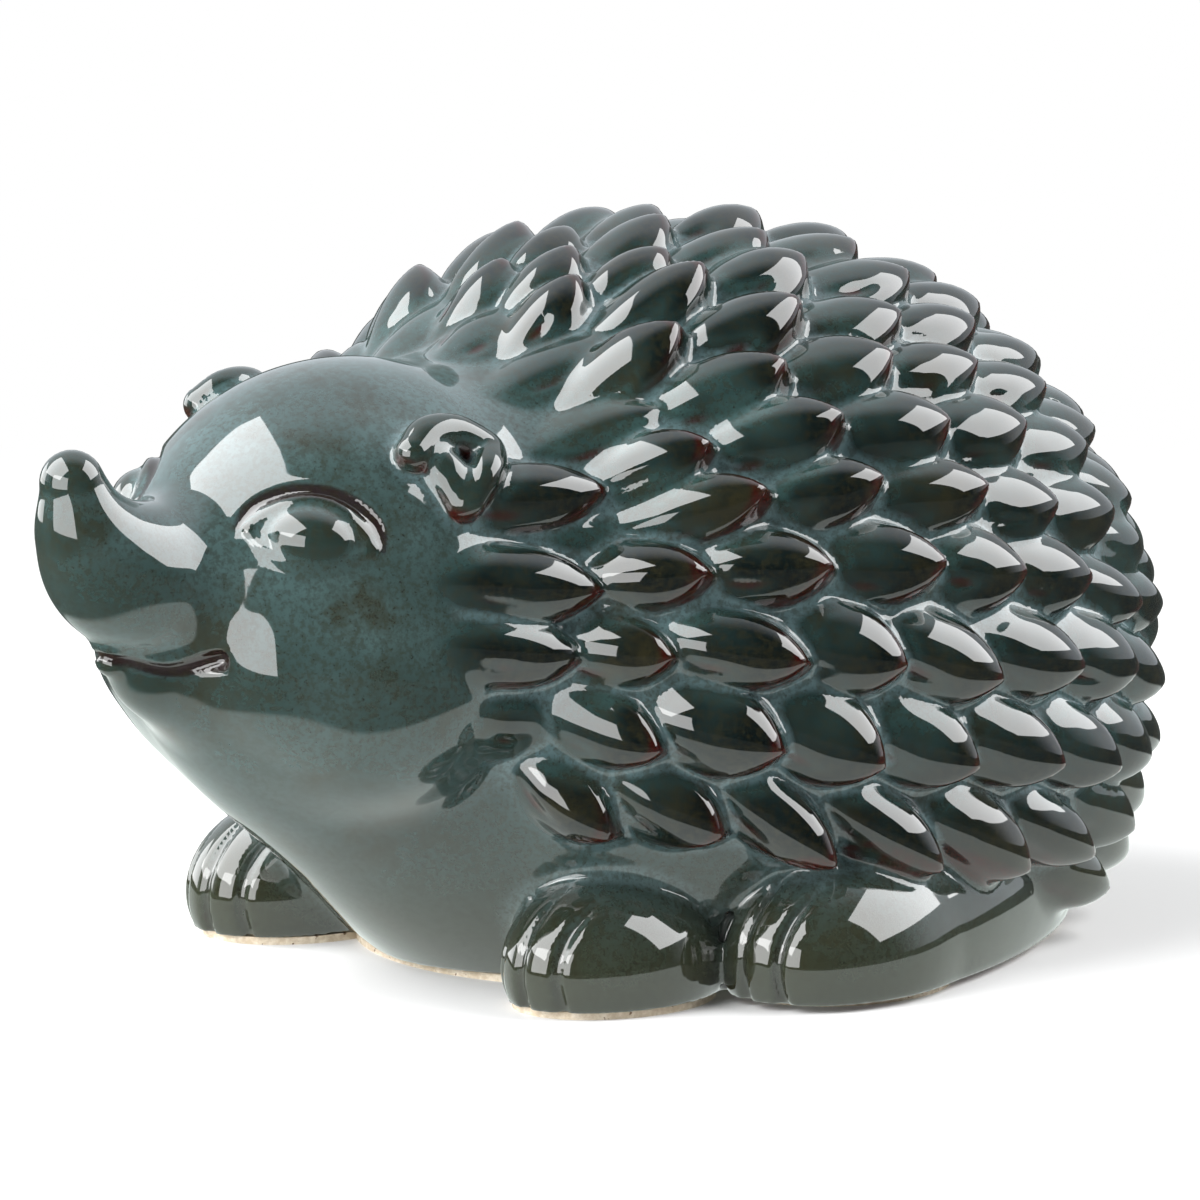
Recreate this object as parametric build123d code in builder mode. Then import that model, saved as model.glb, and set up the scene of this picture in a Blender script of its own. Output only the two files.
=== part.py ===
"""Hedgehog figurine in glazed stoneware, millimetres, Z up.

The hedgehog faces -Y and its left side is +X. The origin is on the table,
under the middle of the body. The body is an egg on its side whose tail end
droops; head, snout, paws and rows of spines are luted to it.
"""
import os
from math import cos, radians, sin, sqrt

from build123d import *

# Clay and glaze
shell_wall = 5.0
bare_foot_height = 1.2
vent_diameter = 14.0
vent_back = 25.0

# Body: an egg on its side
body_radius = 65.5
body_half_length = 77.0
body_cut_depth = 21.0
body_centre_height = body_radius - body_cut_depth
body_droop_angle = 10.0

# Head and chest
head_radius = 35.5
head_half_length = 38.5
head_overlap = 7.0
head_rise = 21.0
head_forward = body_half_length - head_overlap
head_height = body_centre_height + head_rise
chest_radius = 23.0
chest_half_length = 52.0
chest_drop = 2.5
chest_forward = head_forward
chest_height = body_centre_height - chest_drop
chest_slope_angle = 41.0

# Snout: round sections from the face to the raised tip
snout_base_radius = 15.0
snout_lip_radius = 12.5
snout_mid_radius = 8.8
snout_tip_radius = 5.4
snout_base_reach = 30.0
snout_lip_reach = 18.0
snout_mid_reach = 7.6
snout_tip_reach = 2.6
snout_base_rise = 7.5
snout_lip_drop = 0.5
snout_mid_rise = 7.0
snout_tip_rise = 9.0
snout_base_forward = head_forward + snout_base_reach
snout_lip_forward = snout_base_forward + snout_lip_reach
snout_mid_forward = snout_lip_forward + snout_mid_reach
snout_tip_forward = snout_mid_forward + snout_tip_reach
snout_base_height = head_height + snout_base_rise
snout_lip_height = snout_base_height - snout_lip_drop
snout_mid_height = snout_lip_height + snout_mid_rise
snout_tip_height = snout_mid_height + snout_tip_rise
snout_lip_angle = 22.0
snout_mid_angle = 60.0
snout_tip_angle = 78.0

# Lower jaw, closed against the upper lip
jaw_radius = 13.8
jaw_half_length = 15.5
jaw_reach = 3.0
jaw_drop = 17.0
jaw_forward = snout_base_forward + jaw_reach
jaw_height = snout_base_height - jaw_drop
mouth_rise = 1.6
mouth_gap = 0.8

# Eyes and lids
eye_side = 20.5
eye_reach = 25.0
eye_rise = 12.7
eye_forward = head_forward + eye_reach
eye_height = head_height + eye_rise
eye_half_length = 6.0
eye_radius = 4.4
eye_slope_angle = 20.0
lid_reach = 7.4
lid_rise = 5.4
lid_thickness = 2.2

# Ears: a bead bent round a hollow that opens forward and down
ear_side = 26.0
ear_rise = 22.5
ear_forward = head_forward
ear_height = head_height + ear_rise
ear_bend_radius = 5.6
ear_bead_radius = 3.6
ear_lift = 1.4
ear_start_angle = -80.0
ear_sweep_angle = 225.0

# Paws and haunches
forepaw_side_share = 0.58
forepaw_side = body_radius * forepaw_side_share
forepaw_forward = 47.0
forepaw_radius = 14.5
forepaw_half_length = 19.0
hindpaw_side_share = 0.825
hindpaw_side = body_radius * hindpaw_side_share
hindpaw_forward = 12.0
hindpaw_radius = 15.5
hindpaw_half_length = 19.0
paw_centre_height = 6.0
toe_groove_width = 1.2
toe_groove_depth = 1.4
toe_pitch = 7.0
haunch_side_share = 0.64
haunch_side = body_radius * haunch_side_share
haunch_back = 15.0
haunch_radius = 15.5
haunch_half_length = 40.0
haunch_toe_in_angle = 22.0

# Spines: one leaf form, pointed at the tail end
spine_width = 11.4
spine_sink = 2.2
spine_lift_angle = 11.0
spine_gap = 0.4
spine_fill_share = 0.93
spine_belly_share = 0.68
bezier_bulge_share = 0.75

# Spine rows, in degrees. The lean is how far a row lies from the top ridge,
# and each turn is where a spine's root lies on the way from nose to tail.
ridge_row = (0.0, (43.0, 53.0, 66.0, 80.0, 94.0, 108.0, 122.0, 136.0, 150.0))
side_rows = (
    (9.5, (48.0, 61.0, 73.0, 87.0, 101.0, 115.0, 129.0, 142.0)),
    (20.0, (41.0, 57.0, 73.0, 87.0, 102.0, 116.0, 130.0)),
    (30.0, (48.0, 64.0, 80.0, 94.0, 108.0, 122.0, 136.0, 149.0)),
    (39.5, (41.0, 56.0, 73.0, 88.0, 102.0, 116.0, 130.0)),
    (49.5, (45.0, 60.0, 77.0, 92.0, 106.0, 120.0, 134.0, 148.0)),
    (59.5, (34.0, 48.0, 65.0, 80.0, 95.0, 108.0, 122.0, 135.0)),
    (69.0, (41.0, 56.0, 71.0, 86.0, 99.0, 112.0, 126.0, 140.0)),
    (80.0, (27.0, 38.0, 51.0, 67.0, 80.0, 94.0, 108.0, 122.0, 136.0)),
    (92.0, (28.0, 39.0, 51.0, 65.0, 78.0, 91.0, 105.0, 119.0, 132.0)),
    (104.0, (28.0, 38.0, 49.0, 61.0, 75.0, 89.0, 103.0, 117.0, 131.0)),
    (117.0, (112.0, 126.0, 140.0)),
)
last_turn_step = 13.0
fan_rate = 0.015
fan_start_lean = 70.0
fan_end_turn = 60.0
tip_droop_rate = 0.16
tip_droop_start_lean = 60.0

# Places
droop = radians(body_droop_angle)
tail_dir = Vector(0, cos(droop), -sin(droop))
crown_dir = Vector(0, sin(droop), cos(droop))
left_dir = Vector(1, 0, 0)
body_centre = Vector(0, 0, body_centre_height)
back_dir = Vector(0, 1, 0)
down_dir = Vector(0, 0, -1)
body_place = Plane(origin=body_centre, x_dir=-crown_dir, z_dir=tail_dir)
head_place = Plane(
    origin=(0, -head_forward, head_height), x_dir=down_dir, z_dir=back_dir
)
chest_slope = radians(chest_slope_angle)
chest_dir = Vector(0, cos(chest_slope), -sin(chest_slope))
chest_up = Vector(0, sin(chest_slope), cos(chest_slope))
chest_place = Plane(
    origin=(0, -chest_forward, chest_height), x_dir=chest_up, z_dir=chest_dir
)
foot_top = Plane.XY.offset(bare_foot_height)
hands = {"left": 1, "right": -1}


def egg(place, half_length, radius):
    """Return an ellipse turned about the z direction of its place.

    The seam of the form lies on the x side of the place.
    """
    axial = Plane(origin=place.origin, x_dir=place.x_dir, z_dir=-place.y_dir)
    with BuildPart() as form:
        with BuildSketch(axial):
            Ellipse(radius, half_length)
            split(bisect_by=Plane.YZ)
        revolve(axis=Axis(place.origin, place.z_dir))
    return form.part


def egg_hit(start, ray, place, half_length, radius):
    """Return how far along the ray its last crossing of the egg lies, or 0."""
    offset = start - place.origin
    terms = (
        (place.x_dir, radius),
        (place.y_dir, radius),
        (place.z_dir, half_length),
    )
    square = sum((ray.dot(axis) / half) ** 2 for axis, half in terms)
    cross = sum(ray.dot(axis) * offset.dot(axis) / half**2 for axis, half in terms)
    rest = sum((offset.dot(axis) / half) ** 2 for axis, half in terms) - 1
    inside = cross**2 - square * rest
    if inside < 0:
        return 0
    return (sqrt(inside) - cross) / square


def egg_normal(point, place, half_length, radius):
    """Return the outward direction of the egg's surface at a point on it."""
    offset = point - place.origin
    normal = (
        place.x_dir * (offset.dot(place.x_dir) / radius**2)
        + place.y_dir * (offset.dot(place.y_dir) / radius**2)
        + place.z_dir * (offset.dot(place.z_dir) / half_length**2)
    )
    return normal.normalized()


skins = (
    (body_place, body_half_length, body_radius),
    (head_place, head_half_length, head_radius),
    (chest_place, chest_half_length, chest_radius),
)


def skin_at(turn, lean):
    """Return the point and outward direction of the clay skin at two angles."""
    around = left_dir * sin(radians(lean)) + crown_dir * cos(radians(lean))
    ray = around * (body_radius * sin(radians(turn))) - tail_dir * (
        body_half_length * cos(radians(turn))
    )
    hits = [egg_hit(body_centre, ray, *skin) for skin in skins]
    reach = max(hits)
    point = body_centre + ray * reach
    return point, egg_normal(point, *skins[hits.index(reach)])


def row_lean_at(row_lean, turn):
    """Return the lean of a row, which fans out low down behind the face."""
    low = max(row_lean - fan_start_lean, 0)
    early = max(fan_end_turn - turn, 0)
    return row_lean + fan_rate * low * early


def spine(row_lean, turn, next_turn, lean_step):
    """Return one leaf that lies along its row from one turn to the next."""
    root, outward = skin_at(turn, row_lean_at(row_lean, turn))
    tip_lean = row_lean_at(row_lean, next_turn)
    tip_lean += tip_droop_rate * max(row_lean - tip_droop_start_lean, 0)
    tip, _ = skin_at(next_turn, tip_lean)
    along = tip - root
    along = (along - outward * along.dot(outward)).normalized()
    length = (tip - root).length - spine_gap
    middle = (root + tip) * 0.5 - body_centre
    reach = (middle - tail_dir * middle.dot(tail_dir)).length
    room = spine_fill_share * reach * radians(lean_step)
    half_width = min(spine_width, room) / 2
    lift = radians(spine_lift_angle)
    axis_dir = along * cos(lift) + outward * sin(lift)
    start = root - outward * spine_sink
    place = Plane(origin=start, x_dir=along.cross(outward), z_dir=axis_dir)
    section = Plane(origin=start, x_dir=place.x_dir, z_dir=-place.y_dir)
    bulge = half_width / bezier_bulge_share
    with BuildPart() as leaf:
        with BuildSketch(section):
            with BuildLine():
                edge = Bezier(
                    (0, 0),
                    (bulge, 0),
                    (bulge, length * spine_belly_share),
                    (0, length),
                )
                Line(edge @ 1, edge @ 0)
            make_face()
        revolve(axis=Axis(start, axis_dir))
    return leaf.part


def spine_row(row, lean_step, carriers):
    """Return the spines of one row as a group of separate solids."""
    row_lean, turns = row
    ends = turns[1:] + (turns[-1] + last_turn_step,)
    with BuildPart() as group:
        for turn, end in zip(turns, ends):
            add(spine(row_lean, turn, end, lean_step))
        for carrier in carriers:
            add(carrier, mode=Mode.SUBTRACT)
        split(bisect_by=foot_top)
    return group.part


def paw_place(hand, side, forward):
    """Return the place of a paw's egg form, seam down."""
    origin = (hand * side, -forward, paw_centre_height)
    return Plane(origin=origin, x_dir=down_dir, z_dir=back_dir)


def paw(hand, side, forward, half_length, radius, carriers):
    """Return a paw with toe grooves, cut to the forms that carry it."""
    place = paw_place(hand, side, forward)
    inner = egg(place, half_length - toe_groove_depth, radius - toe_groove_depth)
    with BuildPart() as grooves:
        with Locations((hand * side, -forward - half_length / 2, paw_centre_height)):
            with GridLocations(toe_pitch, toe_pitch, 3, 1):
                Box(toe_groove_width, half_length, 2 * radius)
        add(inner, mode=Mode.SUBTRACT)
    with BuildPart() as form:
        add(egg(place, half_length, radius))
        add(grooves.part, mode=Mode.SUBTRACT)
        for carrier in carriers:
            add(carrier, mode=Mode.SUBTRACT)
        split(bisect_by=foot_top)
    return form.part


def place_on_head(hand, side, forward, height, roll_angle):
    """Return a plane on the head's skin, x to the tail or nose, z outward."""
    aim = Vector(hand * side, -forward, height) - head_place.origin
    reach = egg_hit(head_place.origin, aim, *skins[1])
    point = head_place.origin + aim * reach
    outward = egg_normal(point, *skins[1])
    level = Vector(0, 0, 1).cross(outward).normalized()
    place = Plane(origin=point, x_dir=level, z_dir=outward)
    return place.rotated((0, 0, hand * roll_angle))


def haunch_place(hand):
    """Return the place of a haunch's egg form, seam down, toes turned in."""
    toe_in = radians(haunch_toe_in_angle)
    return Plane(
        origin=(hand * haunch_side, haunch_back, paw_centre_height),
        x_dir=down_dir,
        z_dir=(-hand * sin(toe_in), cos(toe_in), 0),
    )


# Full forms that the pieces are cut from
body_form = egg(body_place, body_half_length, body_radius)
head_form = egg(head_place, head_half_length, head_radius)
chest_form = egg(chest_place, chest_half_length, chest_radius)
body_cavity = egg(body_place, body_half_length - shell_wall, body_radius - shell_wall)
head_cavity = egg(head_place, head_half_length - shell_wall, head_radius - shell_wall)

# Body shell, hollow and closed below except for the firing vent
with BuildPart() as body_hollow:
    add(body_cavity)
    split(bisect_by=foot_top.offset(shell_wall))
with BuildPart() as body_shell:
    add(body_form)
    add(body_hollow.part, mode=Mode.SUBTRACT)
    add(head_cavity, mode=Mode.SUBTRACT)
    split(bisect_by=foot_top)
    with Locations((0, vent_back, bare_foot_height)):
        Cylinder(vent_diameter / 2, 3 * shell_wall, mode=Mode.SUBTRACT)

# Head and chest, one hollow form that opens into the body
with BuildPart() as head:
    add(head_form)
    add(chest_form)
    add(body_form, mode=Mode.SUBTRACT)
    add(head_cavity, mode=Mode.SUBTRACT)
    split(bisect_by=foot_top)

# Snout
snout_stations = (
    (snout_base_forward, snout_base_height, snout_base_radius, 0),
    (snout_lip_forward, snout_lip_height, snout_lip_radius, snout_lip_angle),
    (snout_mid_forward, snout_mid_height, snout_mid_radius, snout_mid_angle),
    (snout_tip_forward, snout_tip_height, snout_tip_radius, snout_tip_angle),
)
with BuildPart() as snout_form:
    for forward, height, radius, rise_angle in snout_stations:
        rise = radians(rise_angle)
        station = Plane(
            origin=(0, -forward, height), x_dir=(1, 0, 0), z_dir=(0, -cos(rise), sin(rise))
        )
        with BuildSketch(station):
            Circle(radius)
    loft()
    with Locations((0, -snout_tip_forward, snout_tip_height)):
        Sphere(snout_tip_radius)
with BuildPart() as snout:
    add(snout_form.part)
    add(head_form, mode=Mode.SUBTRACT)
    add(chest_form, mode=Mode.SUBTRACT)

# Lower jaw
jaw_place = Plane(
    origin=(0, -jaw_forward, jaw_height), x_dir=(0, 0, 1), z_dir=back_dir
)
with BuildPart() as lower_jaw:
    add(egg(jaw_place, jaw_half_length, jaw_radius))
    split(bisect_by=Plane.XY.offset(jaw_height + mouth_rise - mouth_gap), keep=Keep.BOTTOM)
    add(head_form, mode=Mode.SUBTRACT)
    add(chest_form, mode=Mode.SUBTRACT)
    add(snout_form.part, mode=Mode.SUBTRACT)


def eye_egg(place):
    """Return the full egg form of an eye, long across its place, seam inward."""
    across = Plane(origin=place.origin, x_dir=-place.z_dir, z_dir=place.x_dir)
    return egg(across, eye_half_length, eye_radius)


def eye(place):
    """Return an eyeball, cut to the head."""
    with BuildPart() as ball:
        add(eye_egg(place))
        add(head_form, mode=Mode.SUBTRACT)
    return ball.part


def eyelid(place, rise):
    """Return a round bead that arches over or under an eye."""
    with BuildPart() as lid:
        with BuildLine(place):
            arch = ThreePointArc((-lid_reach, 0), (0, rise), (lid_reach, 0))
        with BuildSketch(Plane(origin=arch @ 0, z_dir=arch % 0)):
            Circle(lid_thickness / 2)
        sweep(path=arch)
        split(bisect_by=Plane(place.origin, x_dir=place.x_dir, z_dir=place.y_dir * rise))
        add(eye_egg(place), mode=Mode.SUBTRACT)
        add(head_form, mode=Mode.SUBTRACT)
    return lid.part


def ear(hand, place):
    """Return an ear: a bead bent like a C on the side of the head."""
    start_angle = ear_start_angle
    if hand < 0:
        start_angle = 180 - ear_start_angle - ear_sweep_angle
    seat = place.offset(ear_lift)
    with BuildPart() as curl:
        with BuildLine(seat):
            bend = CenterArc((0, 0), ear_bend_radius, start_angle, ear_sweep_angle)
        with BuildSketch(Plane(origin=bend @ 0, z_dir=bend % 0)):
            Circle(ear_bead_radius)
        sweep(path=bend)
        add(head_form, mode=Mode.SUBTRACT)
        add(body_form, mode=Mode.SUBTRACT)
    return curl.part


def haunch(form):
    """Return a haunch, cut to the body."""
    with BuildPart() as thigh:
        add(form)
        add(body_form, mode=Mode.SUBTRACT)
        split(bisect_by=foot_top)
    return thigh.part


# Spine rows of the left side and the top ridge
leans = [ridge_row[0]] + [row[0] for row in side_rows]
steps = [after - before for before, after in zip(leans, leans[1:])]
steps = [steps[0]] + [min(pair) for pair in zip(steps, steps[1:])] + [steps[-1]]
left_ear_place = place_on_head(1, ear_side, ear_forward, ear_height, 0)
left_ear = ear(1, left_ear_place)
left_haunch_form = egg(haunch_place(1), haunch_half_length, haunch_radius)
mantle_carriers = (body_form, head_form, chest_form)
ear_carriers = mantle_carriers + (left_ear,)
low_carriers = mantle_carriers + (left_haunch_form,)

pieces = {
    "body_shell": body_shell.part,
    "head": head.part,
    "snout": snout.part,
    "lower_jaw": lower_jaw.part,
    "spine_row_ridge": spine_row(ridge_row, steps[0], mantle_carriers),
}
for number, (row, step) in enumerate(zip(side_rows, steps[1:]), 1):
    carriers = low_carriers if row[0] > fan_start_lean else ear_carriers
    row_part = spine_row(row, step, carriers)
    pieces[f"left_spine_row_{number}"] = row_part
    pieces[f"right_spine_row_{number}"] = mirror(row_part, about=Plane.YZ)

# Face, ears and legs of both sides
for side_name, hand in hands.items():
    eye_place = place_on_head(hand, eye_side, eye_forward, eye_height, eye_slope_angle)
    ear_place = place_on_head(hand, ear_side, ear_forward, ear_height, 0)
    haunch_form = egg(haunch_place(hand), haunch_half_length, haunch_radius)
    forepaw = paw(
        hand,
        forepaw_side,
        forepaw_forward,
        forepaw_half_length,
        forepaw_radius,
        (body_form, chest_form, head_form),
    )
    hindpaw = paw(
        hand,
        hindpaw_side,
        hindpaw_forward,
        hindpaw_half_length,
        hindpaw_radius,
        (body_form, haunch_form, forepaw),
    )
    pieces[f"{side_name}_eye"] = eye(eye_place)
    pieces[f"{side_name}_upper_eyelid"] = eyelid(eye_place, lid_rise)
    pieces[f"{side_name}_lower_eyelid"] = eyelid(eye_place, -lid_rise)
    pieces[f"{side_name}_ear"] = ear(hand, ear_place)
    pieces[f"{side_name}_haunch"] = haunch(haunch_form)
    pieces[f"{side_name}_forepaw"] = forepaw
    pieces[f"{side_name}_hindpaw"] = hindpaw


def low_share(place, radius):
    """Return how wide a lying egg is at the foot's top, as a share of its radius."""
    drop = place.origin.Z - bare_foot_height
    return sqrt(1 - (drop / radius) ** 2)


# Bare clay foot that the glaze stops short of, under every form that stands
foot_start = Vector(0, 0, bare_foot_height)
foot_front = egg_hit(foot_start, -back_dir, *skins[0])
foot_back = egg_hit(foot_start, back_dir, *skins[0])
foot_middle = (foot_back - foot_front) / 2
foot_half_width = egg_hit(foot_start + back_dir * foot_middle, left_dir, *skins[0])
with BuildPart() as bare_foot:
    with BuildSketch():
        with Locations((0, foot_middle)):
            Ellipse(foot_half_width, (foot_front + foot_back) / 2)
        for hand in hands.values():
            share = low_share(paw_place(hand, 0, 0), forepaw_radius)
            with Locations((hand * forepaw_side, -forepaw_forward)):
                Ellipse(forepaw_radius * share, forepaw_half_length * share)
            share = low_share(paw_place(hand, 0, 0), hindpaw_radius)
            with Locations((hand * hindpaw_side, -hindpaw_forward)):
                Ellipse(hindpaw_radius * share, hindpaw_half_length * share)
            share = low_share(haunch_place(hand), haunch_radius)
            with Locations((hand * haunch_side, haunch_back)):
                Ellipse(
                    haunch_radius * share,
                    haunch_half_length * share,
                    rotation=hand * haunch_toe_in_angle,
                )
        with Locations((0, vent_back)):
            Circle(vent_diameter / 2, mode=Mode.SUBTRACT)
    extrude(amount=bare_foot_height)
pieces["bare_foot"] = bare_foot.part

os.makedirs("parts", exist_ok=True)
for name, piece in pieces.items():
    piece.label = name
    export_step(piece, f"parts/{name}.step")
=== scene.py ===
"""The looks of the glazed stoneware hedgehog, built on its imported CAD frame.

The forms follow the CAD forms, in millimetres. They are distance fields on a
grid, so that the clay can flow from one into the next as it does under a thick
glaze. Only the left half is worked out. The right half is its mirror image.
"""

from math import cos, pi, radians, sin, sqrt

import bpy
import numpy as np
import openvdb
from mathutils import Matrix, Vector


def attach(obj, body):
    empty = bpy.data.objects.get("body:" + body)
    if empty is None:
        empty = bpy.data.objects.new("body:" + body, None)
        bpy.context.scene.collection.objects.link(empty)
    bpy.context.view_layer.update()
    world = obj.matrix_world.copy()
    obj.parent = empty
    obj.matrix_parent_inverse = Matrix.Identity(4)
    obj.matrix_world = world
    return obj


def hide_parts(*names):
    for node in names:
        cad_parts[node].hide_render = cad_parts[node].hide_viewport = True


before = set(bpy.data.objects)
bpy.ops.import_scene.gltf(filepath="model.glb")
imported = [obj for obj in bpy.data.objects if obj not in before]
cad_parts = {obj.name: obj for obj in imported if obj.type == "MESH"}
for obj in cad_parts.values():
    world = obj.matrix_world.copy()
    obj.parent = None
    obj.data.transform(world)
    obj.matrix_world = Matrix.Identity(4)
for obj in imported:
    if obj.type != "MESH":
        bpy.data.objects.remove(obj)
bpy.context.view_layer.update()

MM = 0.001
TINY = 1e-6
SEED = 7

# Directions of the standing figurine
LEFT = np.array([1.0, 0.0, 0.0])
BACK = np.array([0.0, 1.0, 0.0])
UP = np.array([0.0, 0.0, 1.0])

# Body, head and chest, as in the CAD
FOOT_HEIGHT = 1.2
BODY_RADIUS = 65.5
BODY_HALF_LENGTH = 77.0
BODY_CENTRE = np.array([0.0, 0.0, 44.5])
BODY_DROOP = radians(10.0)
HEAD_RADIUS = 35.5
HEAD_HALF_LENGTH = 38.5
HEAD_CENTRE = np.array([0.0, -70.0, 65.5])
CHEST_RADIUS = 23.0
CHEST_HALF_LENGTH = 52.0
CHEST_CENTRE = np.array([0.0, -70.0, 42.0])
CHEST_SLOPE = radians(41.0)
TAIL = np.array([0.0, cos(BODY_DROOP), -sin(BODY_DROOP)])
CROWN = np.array([0.0, sin(BODY_DROOP), cos(BODY_DROOP)])
CHEST_AXIS = np.array([0.0, cos(CHEST_SLOPE), -sin(CHEST_SLOPE)])
BODY_FORM = (BODY_CENTRE, TAIL, BODY_HALF_LENGTH, BODY_RADIUS)
HEAD_FORM = (HEAD_CENTRE, BACK, HEAD_HALF_LENGTH, HEAD_RADIUS)
CHEST_FORM = (CHEST_CENTRE, CHEST_AXIS, CHEST_HALF_LENGTH, CHEST_RADIUS)
SKINS = (BODY_FORM, HEAD_FORM, CHEST_FORM)

# How softly each form flows into the last
NECK_BLEND = 8.0
CHEST_BLEND = 12.0
SNOUT_BLEND = 3.6
JAW_BLEND = 3.0
JOWL_BLEND = 6.0
HAUNCH_BLEND = 3.0
PAW_BLEND = 2.6
LEAF_BLEND = 2.6
LEAF_EDGE_BLEND = 1.1
LEAF_RIM_BLEND = 1.1
EAR_BLEND = 1.6
EYE_BLEND = 1.3
CUT_BLEND = 0.9

# Snout and jaw: centre lines and radii from the face to the tip
SNOUT_LINE = ((0, -95, 69.0), (0, -115.5, 72.2), (0, -124.2, 79.6), (0, -127.6, 88.8))
SNOUT_RADII = (13.0, 12.0, 8.5, 5.2)
JAW_LINE = ((0, -98, 55.5), (0, -108, 57.0), (0, -118.5, 59.6))
JAW_RADII = (13.0, 9.4, 3.6)
CHEEK_CENTRE = np.array([14.2, -93.6, 56.8])
CHEEK_HALF_LENGTH = 13.4
CHEEK_RADIUS = 13.1
JOWL_CENTRE = np.array([17.0, -78.5, 53.6])
JOWL_HALF_LENGTH = 21.0
JOWL_RADIUS = 20.5

# Mouth: a slit under the snout that ends in a dimple in each cheek
MOUTH_LINE = ((0, -124, 59.6), (6, -122, 57.8), (10.5, -116, 57.0), (13.8, -109.5, 59.4))
MOUTH_RADII = (0.5, 0.65, 0.85, 1.6)
MOUTH_DEPTH = 0.25

# Eye: an eyeball between two lids, under a fold of the brow
EYE_AIM = np.array([20.5, -95.0, 78.2])
EYE_ROLL = radians(-8.0)
EYE_HALF_LENGTH = 7.6
EYE_RADIUS = 5.5
EYE_SINK = 2.3
EYE_SPAN = 14.0
LID_REACH = 10.2
LID_RISE = 6.2
LID_DROP = 5.0
LID_RADIUS = 0.95
LID_SHARES = (0.5, 0.8, 1, 1, 1, 0.9, 0.6)
UPPER_LID_LIFT = -0.2
LOWER_LID_LIFT = -0.3
CREASE_REACH = 12.2
CREASE_RISE = 8.0
CREASE_RADIUS = 1.1
CREASE_LIFT = 0.2
CREASE_SHARES = (0.3, 0.7, 0.9, 1, 1, 1, 0.9, 0.7, 0.3)

# Ear: a curled rim round a small lobe
EAR_AIM = np.array([26.5, -72.5, 86.6])
EAR_REACH = 7.2
EAR_RISE = 6.0
EAR_RIM_RADII = (2.0, 2.6, 3.0, 3.2, 3.3, 3.4, 3.0)
EAR_RIM_LIFT = 1.6
EAR_START = radians(-80.0)
EAR_SWEEP = radians(225.0)
EAR_LOBE = ((-3.0, 5.0), (-1.2, -0.8), (-0.4, -6.0))
EAR_LOBE_RADII = (2.4, 3.6, 2.8)
EAR_LOBE_LIFT = 0.4

# Paws: centre, radius and half length of each
PAWS = {
    "left_forepaw": ((38.5, -47.5, 6.5), 15.0, 20.0),
    "left_hindpaw": ((56.5, -16.0, 6.5), 15.8, 20.5),
}
TOE_GAPS = (-1, 0, 1)
TOE_PITCH = 6.6
TOE_FADE = 0.45
TOE_GROOVE_RADIUS = 0.9
TOE_GROOVE_RISES = np.radians((-25, 5, 32, 62))
TOE_GROOVE_SHARES = (1, 1, 1, 0.2)

# Haunch: a long form that runs back along the foot
HAUNCH_CENTRE = np.array([42.0, 13.0, 7.0])
HAUNCH_RADIUS = 19.5
HAUNCH_HALF_LENGTH = 52.0
HAUNCH_TOE_IN = radians(28.0)

# Leaf: the spine's outline, widest at its belly
LEAF_WIDTH = 14.4
LEAF_LEAST_WIDTH = 12.0
LEAF_ROOM_SHARE = 1.26
LEAF_BELLY_SHARE = 0.46
LEAF_BELLY_POWER = 2
LEAF_ROOT_POWER = 0.7
LEAF_TIP_SHARE = 0.5
LEAF_TIP_BEND = 2.2
LEAF_TIP_POWER = 0.8
LEAF_POINT_HALF_WIDTH = 0.05
LEAF_SIZE_JITTER = 0.08

# Leaf: how it lies on the clay
LEAF_SINK = 2.1
LEAF_LIFT = radians(15.5)
LEAF_BACKSET = 3.0
LEAF_OVERREACH = 1.03
LEAF_LOW_REACH = 0.14
LEAF_TURN_JITTER = radians(6.5)

# Leaf: its dome, and the sunken streak on one side of it
LEAF_DOME_SHARE = 0.52
LEAF_DOME_JITTER = 0.12
LEAF_DOME_EVENNESS = 0.7
LEAF_SIDE_LIMIT = 1.4
STREAK_SIDE_SHARE = 0.6
STREAK_SIDE_JITTER = 0.15
STREAK_PLACE_SHARES = (0.3, 0.45)
STREAK_SPREAD_SHARES = (0.14, 0.24)
STREAK_STRENGTH_SHARES = (0.5, 1.0)
STREAK_WIDTH = 1.0
STREAK_DEPTH = 0.7
STREAK_MARGIN = 1.0
LEAF_FADE = 3.0

# Rows of leaves in degrees: the lean of each from the crown, and its leaves' turns
ROWS = (
    (0.0, (43, 53, 66, 80, 94, 108, 122, 136, 150)),
    (9.5, (48, 61, 73, 87, 101, 115, 129, 142)),
    (20.0, (41, 57, 73, 87, 102, 116, 130)),
    (30.0, (48, 64, 80, 94, 108, 122, 136, 149)),
    (39.5, (41, 56, 73, 88, 102, 116, 130)),
    (49.5, (31, 45, 60, 77, 92, 106, 120, 134, 148)),
    (59.5, (34, 48, 65, 80, 95, 108, 122, 135)),
    (69.0, (28, 41, 56, 71, 86, 99, 112, 126, 140)),
    (80.0, (27, 38, 51, 67, 80, 94, 108, 122, 136)),
    (92.0, (28, 39, 51, 65, 78, 91, 105, 119, 132)),
    (104.0, (38, 49, 61, 75, 89, 103, 117, 131)),
    (113.0, (113, 126, 140)),
)
LAST_TURN_STEP = 13
FAN_RATE = 0.015
FAN_START_LEAN = 70.0
FAN_END_TURN = 60.0
TIP_DROOP_RATE = 0.16
TIP_DROOP_START_LEAN = 60.0
TIP_DROOP_LEAN_SPAN = 40.0

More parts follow.
